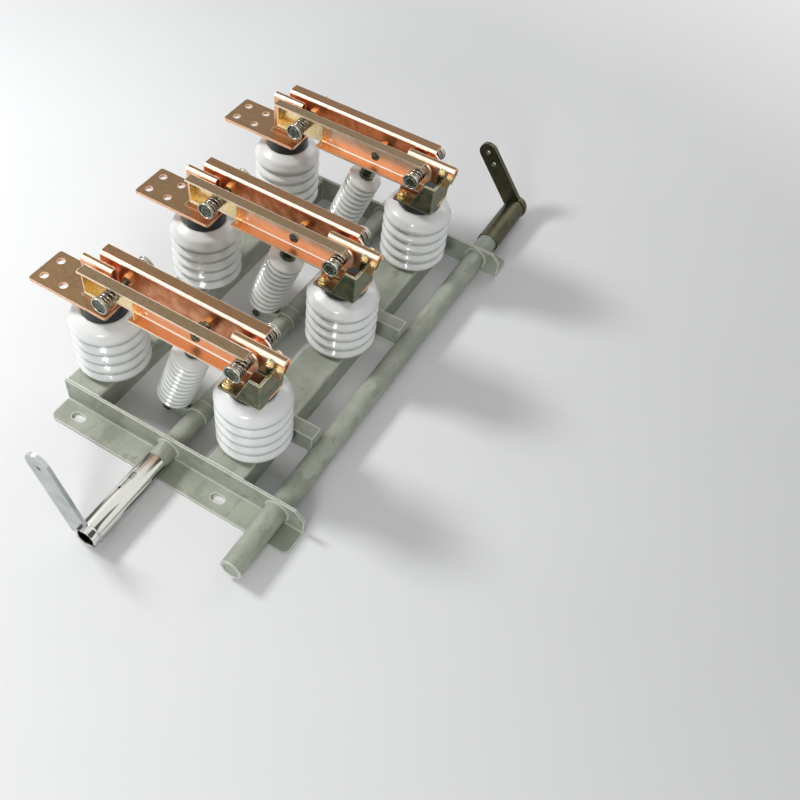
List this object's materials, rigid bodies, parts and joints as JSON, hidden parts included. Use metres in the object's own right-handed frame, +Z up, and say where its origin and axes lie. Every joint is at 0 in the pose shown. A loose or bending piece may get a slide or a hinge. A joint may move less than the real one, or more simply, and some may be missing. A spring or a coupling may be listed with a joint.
{
  "type": "indoor disconnect switch",
  "caption": "Three-pole indoor disconnector: twin copper knife blades on ribbed porcelain posts, lifted by pull rods from a shaft in a welded steel base.",
  "frame": {"origin": "middle of the four fixing slots, on the underside of the base frame", "axes": "+X along the blades from the fixed contacts to the hinges, +Y along the shafts, +Z up"},
  "size_m": [0.537, 1.037, 0.269],
  "materials": {
    "frame_paint": "satin",
    "porcelain": "gloss",
    "foot_iron": "matte",
    "cap_iron": "satin",
    "copper": "satin",
    "zinc_steel": "satin",
    "spring_steel": "satin",
    "bright_steel": "polished",
    "dark_steel": "satin"
  },
  "bodies": {
    "base": {"end_angle_near": "frame_paint", "end_angle_far": "frame_paint", "contact_rail": "frame_paint", "hinge_rail": "frame_paint", "shaft_bearings": "frame_paint", "shaft_hangers": "frame_paint", "post_feet": "foot_iron", "contact_posts": "porcelain", "hinge_posts": "porcelain", "post_caps": "cap_iron", "terminal_pads": "copper", "fixed_contacts": "copper", "hinge_brackets": "zinc_steel", "hinge_contacts": "copper", "hinge_bolts": "zinc_steel"},
    "main_shaft": {"main_shaft": "frame_paint", "shaft_levers": "frame_paint", "lever_pins": "zinc_steel", "crank_sleeve": "bright_steel", "crank_arm": "bright_steel"},
    "side_shaft": {"side_shaft": "frame_paint", "side_sleeve": "dark_steel", "side_crank": "dark_steel"},
    "blades_1": {"near_blade_1": "copper", "far_blade_1": "copper", "press_plates_1": "zinc_steel", "spring_bolts_1": "zinc_steel", "springs_1": "spring_steel"},
    "pull_rod_1": {"rod_insulator_1": "porcelain", "rod_fittings_1": "zinc_steel"},
    "blades_2": {"near_blade_2": "copper", "far_blade_2": "copper", "press_plates_2": "zinc_steel", "spring_bolts_2": "zinc_steel", "springs_2": "spring_steel"},
    "pull_rod_2": {"rod_insulator_2": "porcelain", "rod_fittings_2": "zinc_steel"},
    "blades_3": {"near_blade_3": "copper", "far_blade_3": "copper", "press_plates_3": "zinc_steel", "spring_bolts_3": "zinc_steel", "springs_3": "spring_steel"},
    "pull_rod_3": {"rod_insulator_3": "porcelain", "rod_fittings_3": "zinc_steel"}
  },
  "joints": [
    {"name": "main_shaft_turn", "type": "hinge", "parent": "base", "child": "main_shaft", "pos_m": [0.0285, 0, 0.026], "axis": [0, 1, 0], "range_deg": [0, 60]},
    {"name": "side_shaft_turn", "type": "hinge", "parent": "base", "child": "side_shaft", "pos_m": [0.231, 0, 0.026], "axis": [0, 1, 0], "range_deg": [0, 90]},
    {"name": "blades_1_swing", "type": "hinge", "parent": "base", "child": "blades_1", "pos_m": [0.133, -0.25, 0.243], "axis": [0, 1, 0], "range_deg": [0, 42.24]},
    {"name": "pull_rod_1_swing", "type": "hinge", "parent": "blades_1", "child": "pull_rod_1", "pos_m": [0.047, -0.25, 0.236], "axis": [0, 1, 0], "range_deg": [-42, 0]},
    {"name": "blades_2_swing", "type": "hinge", "parent": "base", "child": "blades_2", "pos_m": [0.133, 0, 0.243], "axis": [0, 1, 0], "range_deg": [0, 42.24]},
    {"name": "pull_rod_2_swing", "type": "hinge", "parent": "blades_2", "child": "pull_rod_2", "pos_m": [0.047, 0, 0.236], "axis": [0, 1, 0], "range_deg": [-42, 0]},
    {"name": "blades_3_swing", "type": "hinge", "parent": "base", "child": "blades_3", "pos_m": [0.133, 0.25, 0.243], "axis": [0, 1, 0], "range_deg": [0, 42.24]},
    {"name": "pull_rod_3_swing", "type": "hinge", "parent": "blades_3", "child": "pull_rod_3", "pos_m": [0.047, 0.25, 0.236], "axis": [0, 1, 0], "range_deg": [-42, 0]}
  ],
  "couplings": [
    {"joint": "blades_1_swing", "follows": "main_shaft_turn", "ratio": 0.704},
    {"joint": "pull_rod_1_swing", "follows": "main_shaft_turn", "ratio": -0.7},
    {"joint": "blades_2_swing", "follows": "main_shaft_turn", "ratio": 0.704},
    {"joint": "pull_rod_2_swing", "follows": "main_shaft_turn", "ratio": -0.7},
    {"joint": "blades_3_swing", "follows": "main_shaft_turn", "ratio": 0.704},
    {"joint": "pull_rod_3_swing", "follows": "main_shaft_turn", "ratio": -0.7}
  ]
}
